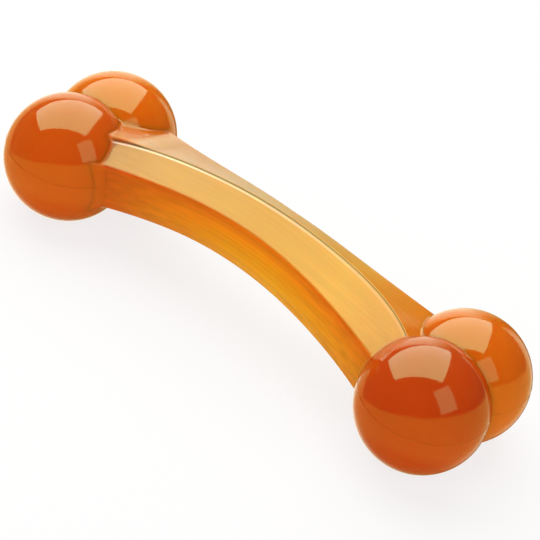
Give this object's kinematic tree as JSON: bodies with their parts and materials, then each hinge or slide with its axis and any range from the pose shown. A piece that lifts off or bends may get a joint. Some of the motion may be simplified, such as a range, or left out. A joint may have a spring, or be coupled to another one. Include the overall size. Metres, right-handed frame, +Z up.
{
  "type": "dog chew bone",
  "caption": "Glossy translucent orange dog chew bone: an arched, waisted, six-sided shaft with ball knuckles at both ends.",
  "frame": {"origin": "on the floor, under the middle of the arched shaft", "axes": "+X along the bone, +Y across it, +Z up through the top of the arch"},
  "size_m": [0.1536, 0.0518, 0.0349],
  "materials": {
    "amber_elastomer": "gloss",
    "orange_elastomer": "gloss"
  },
  "bodies": {
    "root": {"arched_shaft": "amber_elastomer", "front_left_ball": "orange_elastomer", "rear_left_ball": "orange_elastomer", "front_right_ball": "orange_elastomer", "rear_right_ball": "orange_elastomer"}
  },
  "joints": []
}
